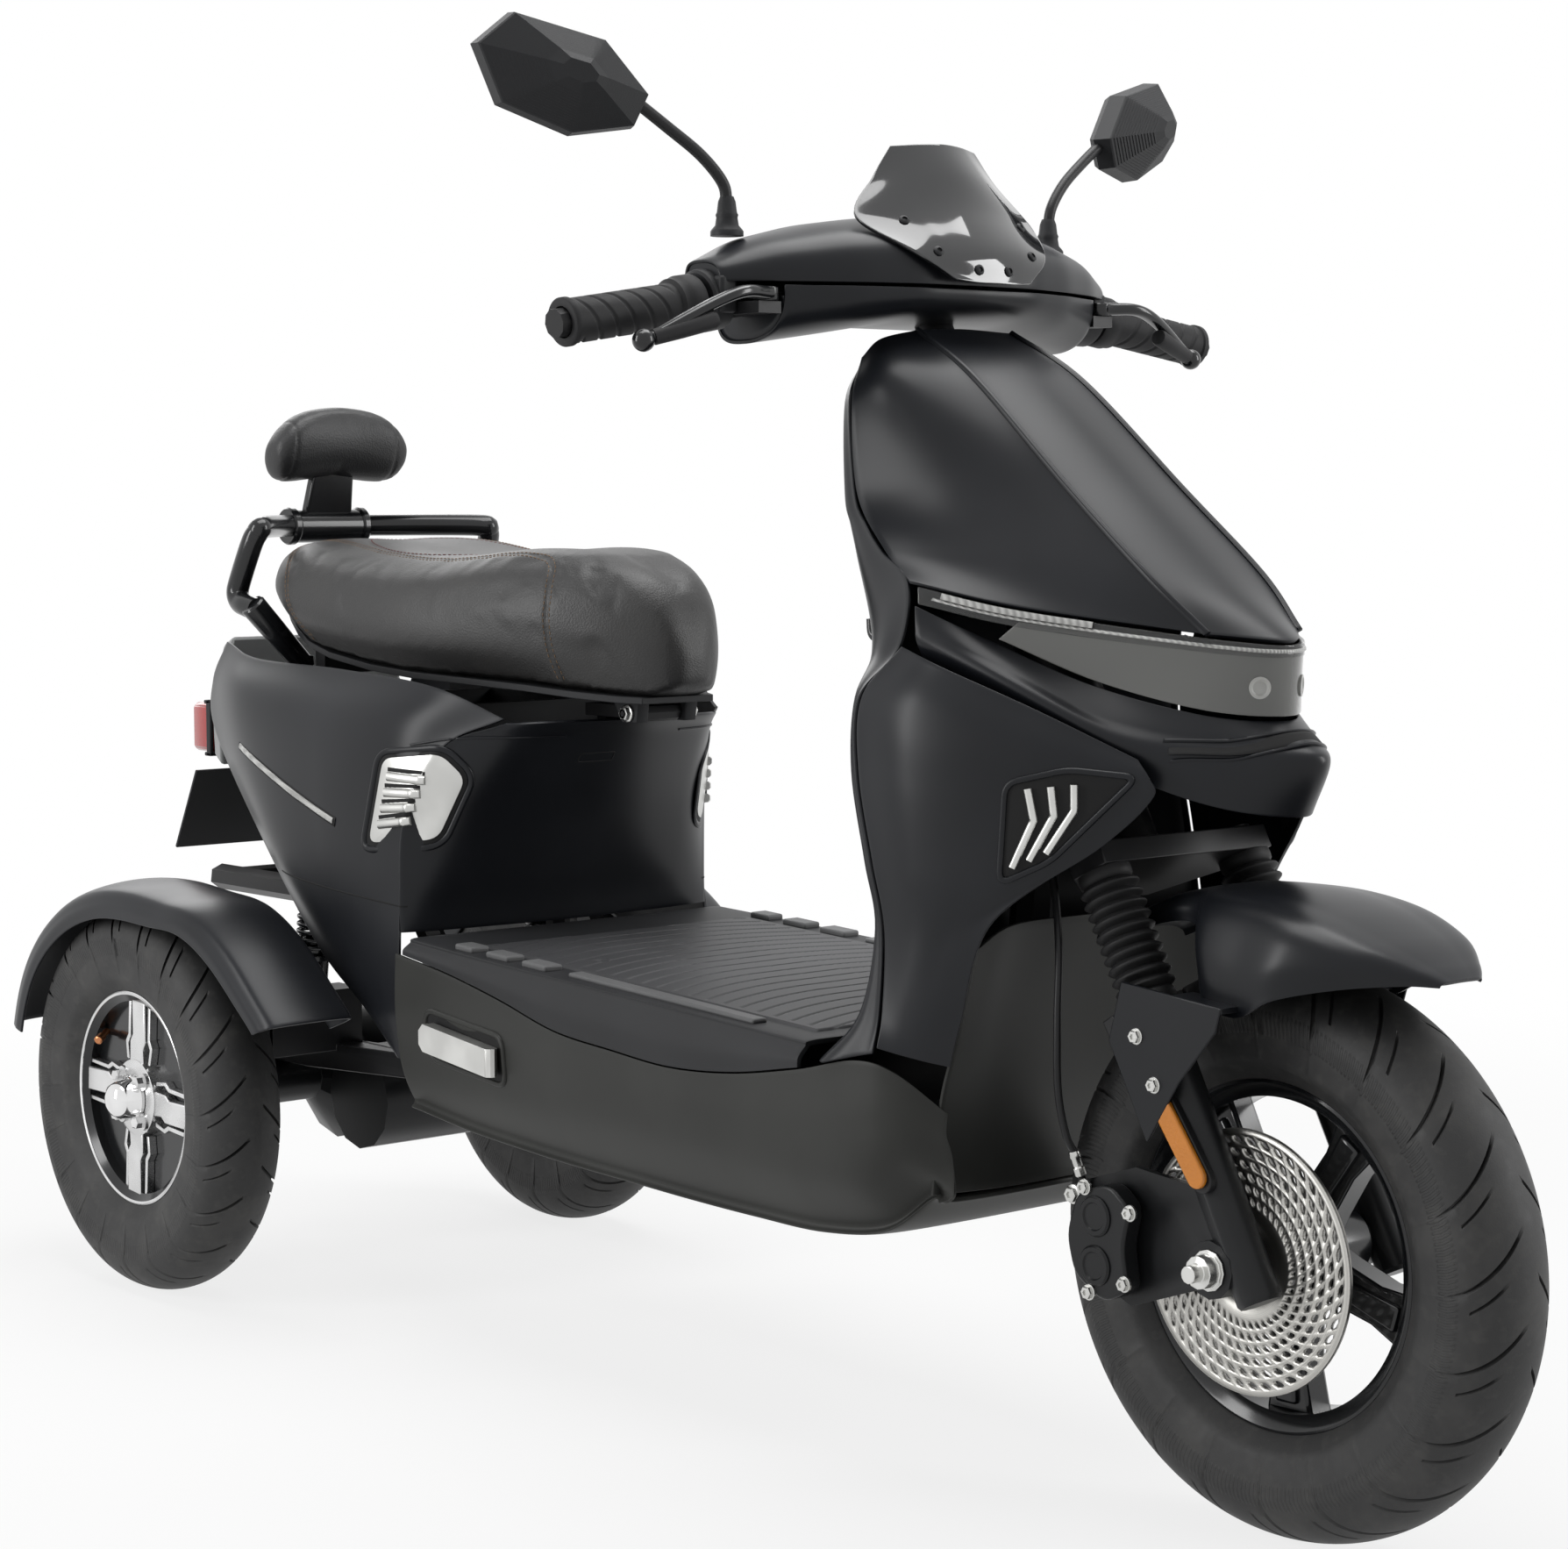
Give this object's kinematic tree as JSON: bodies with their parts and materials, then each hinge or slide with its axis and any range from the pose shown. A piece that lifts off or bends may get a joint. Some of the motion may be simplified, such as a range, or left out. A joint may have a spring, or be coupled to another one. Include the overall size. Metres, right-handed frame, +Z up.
{
  "type": "three-wheel electric scooter",
  "caption": "Seated electric scooter with one steered front wheel and a sprung rear axle: step-through floor, smoked screen, mirrors, opening saddle, backrest, disc brake and fold-out pegs.",
  "frame": {"origin": "on the ground under the middle of the outer box", "axes": "+Z up, the rider faces -Y, the rider's right hand is on -X"},
  "size_m": [0.737, 1.644, 1.105],
  "materials": {
    "satin_black": "satin",
    "lower_black": "matte",
    "texture_black": "grained",
    "metal_black": "satin",
    "rubber": "matte",
    "tyre": "matte",
    "seat_black": "grained",
    "brushed_steel": "brushed",
    "cast_silver": "machined",
    "cast_black": "gloss",
    "smoked_lens": "gloss",
    "red_lens": "gloss",
    "grey_trim": "satin",
    "battery_grey": "matte"
  },
  "bodies": {
    "chassis": {"main_frame": "metal_black", "floor_mat": "texture_black", "lower_tub": "lower_black", "splash_guard": "lower_black", "leg_shield": "satin_black", "front_shield": "satin_black", "front_lamp": "smoked_lens", "beak": "satin_black", "nose_wing_right": "satin_black", "nose_wing_left": "satin_black", "seat_box_cover": "satin_black", "side_panel_right": "satin_black", "side_panel_left": "satin_black", "storage_bin": "texture_black", "battery_pack": "battery_grey", "tail_piece": "grey_trim", "tail_lamp": "red_lens", "plate_holder": "texture_black", "grab_rail": "metal_black", "backrest_pad": "seat_black", "shock_rod_right": "brushed_steel", "shock_rod_left": "brushed_steel"},
    "steering": {"steering_stem": "metal_black", "gaiter_right": "rubber", "gaiter_left": "rubber", "handlebar": "metal_black", "cowl_upper": "satin_black", "cowl_lower": "satin_black", "windscreen": "smoked_lens", "left_grip": "rubber", "brake_hose": "rubber"},
    "fork_lower": {"fork_leg_right": "metal_black", "fork_leg_left": "metal_black", "front_axle": "brushed_steel", "front_caliper": "metal_black", "front_fender": "satin_black"},
    "front_wheel": {"front_tyre": "tyre", "front_rim": "cast_black", "brake_disc": "brushed_steel"},
    "throttle": {"throttle_grip": "rubber"},
    "lever_right": {"brake_lever_right": "metal_black"},
    "lever_left": {"brake_lever_left": "metal_black"},
    "mirror_right": {"mirror_right": "texture_black"},
    "mirror_left": {"mirror_left": "texture_black"},
    "seat": {"seat_cushion": "seat_black", "seat_pan": "texture_black"},
    "rear_suspension": {"rear_swing_arm": "metal_black", "rear_axle_housing": "metal_black", "rear_fender_right": "satin_black", "rear_fender_left": "satin_black", "shock_damper_right": "metal_black", "shock_damper_left": "metal_black", "shock_spring_right": "metal_black", "shock_spring_left": "metal_black"},
    "rear_wheel_right": {"rear_tyre_right": "tyre", "rear_rim_right": "cast_silver"},
    "rear_wheel_left": {"rear_tyre_left": "tyre", "rear_rim_left": "cast_silver"},
    "footpeg_right": {"footpeg_right": "cast_silver"},
    "footpeg_left": {"footpeg_left": "cast_silver"}
  },
  "joints": [
    {"name": "steering_turn", "type": "hinge", "parent": "chassis", "child": "steering", "pos_m": [0, -0.451, 0.466], "axis": [0, 0.4695, 0.8829], "range_deg": [-38, 38]},
    {"name": "fork_travel", "type": "slide", "parent": "steering", "child": "fork_lower", "axis": [0, 0.4695, 0.8829], "range_m": [0, 0.022], "stiffness_N_per_m": 9000, "springref_m": -0.04, "deforming": ["gaiter_right", "gaiter_left", "brake_hose"]},
    {"name": "front_wheel_spin", "type": "hinge", "parent": "fork_lower", "child": "front_wheel", "pos_m": [0, -0.614, 0.208], "axis": [1, 0, 0], "continuous": true},
    {"name": "throttle_twist", "type": "hinge", "parent": "steering", "child": "throttle", "pos_m": [-0.214, -0.19331, 0.89415], "axis": [-0.9882, -0.0203, -0.152], "range_deg": [0, 65], "stiffness_Nm_per_rad": 0.3, "springref_deg": -17.19},
    {"name": "brake_lever_right_pull", "type": "hinge", "parent": "steering", "child": "lever_right", "pos_m": [-0.178, -0.238, 0.8945], "axis": [0, 0, -1], "range_deg": [0, 12], "stiffness_Nm_per_rad": 2, "springref_deg": -8.59},
    {"name": "brake_lever_left_pull", "type": "hinge", "parent": "steering", "child": "lever_left", "pos_m": [0.178, -0.238, 0.8945], "axis": [0, 0, 1], "range_deg": [0, 12], "stiffness_Nm_per_rad": 2, "springref_deg": -8.59},
    {"name": "mirror_right_turn", "type": "hinge", "parent": "steering", "child": "mirror_right", "pos_m": [-0.172, -0.184, 0.946], "axis": [0, 0, 1], "range_deg": [-30, 30]},
    {"name": "mirror_left_turn", "type": "hinge", "parent": "steering", "child": "mirror_left", "pos_m": [0.172, -0.184, 0.946], "axis": [0, 0, 1], "range_deg": [-30, 30]},
    {"name": "seat_open", "type": "hinge", "parent": "chassis", "child": "seat", "pos_m": [0, 0.124, 0.56], "axis": [1, 0, 0], "range_deg": [0, 65]},
    {"name": "rear_suspension_travel", "type": "hinge", "parent": "chassis", "child": "rear_suspension", "pos_m": [0, 0.286, 0.232], "axis": [1, 0, 0], "range_deg": [0, 3], "stiffness_Nm_per_rad": 1500, "springref_deg": -8.59, "deforming": ["shock_spring_right", "shock_spring_left"]},
    {"name": "rear_wheel_right_spin", "type": "hinge", "parent": "rear_suspension", "child": "rear_wheel_right", "pos_m": [-0.238, 0.597, 0.184], "axis": [1, 0, 0], "continuous": true},
    {"name": "rear_wheel_left_spin", "type": "hinge", "parent": "rear_suspension", "child": "rear_wheel_left", "pos_m": [0.238, 0.597, 0.184], "axis": [1, 0, 0], "continuous": true},
    {"name": "footpeg_right_fold", "type": "hinge", "parent": "chassis", "child": "footpeg_right", "pos_m": [-0.1974, 0.104, 0.262], "axis": [0, 0, 1], "range_deg": [0, 90]},
    {"name": "footpeg_left_fold", "type": "hinge", "parent": "chassis", "child": "footpeg_left", "pos_m": [0.1974, 0.104, 0.262], "axis": [0, 0, -1], "range_deg": [0, 90]}
  ]
}
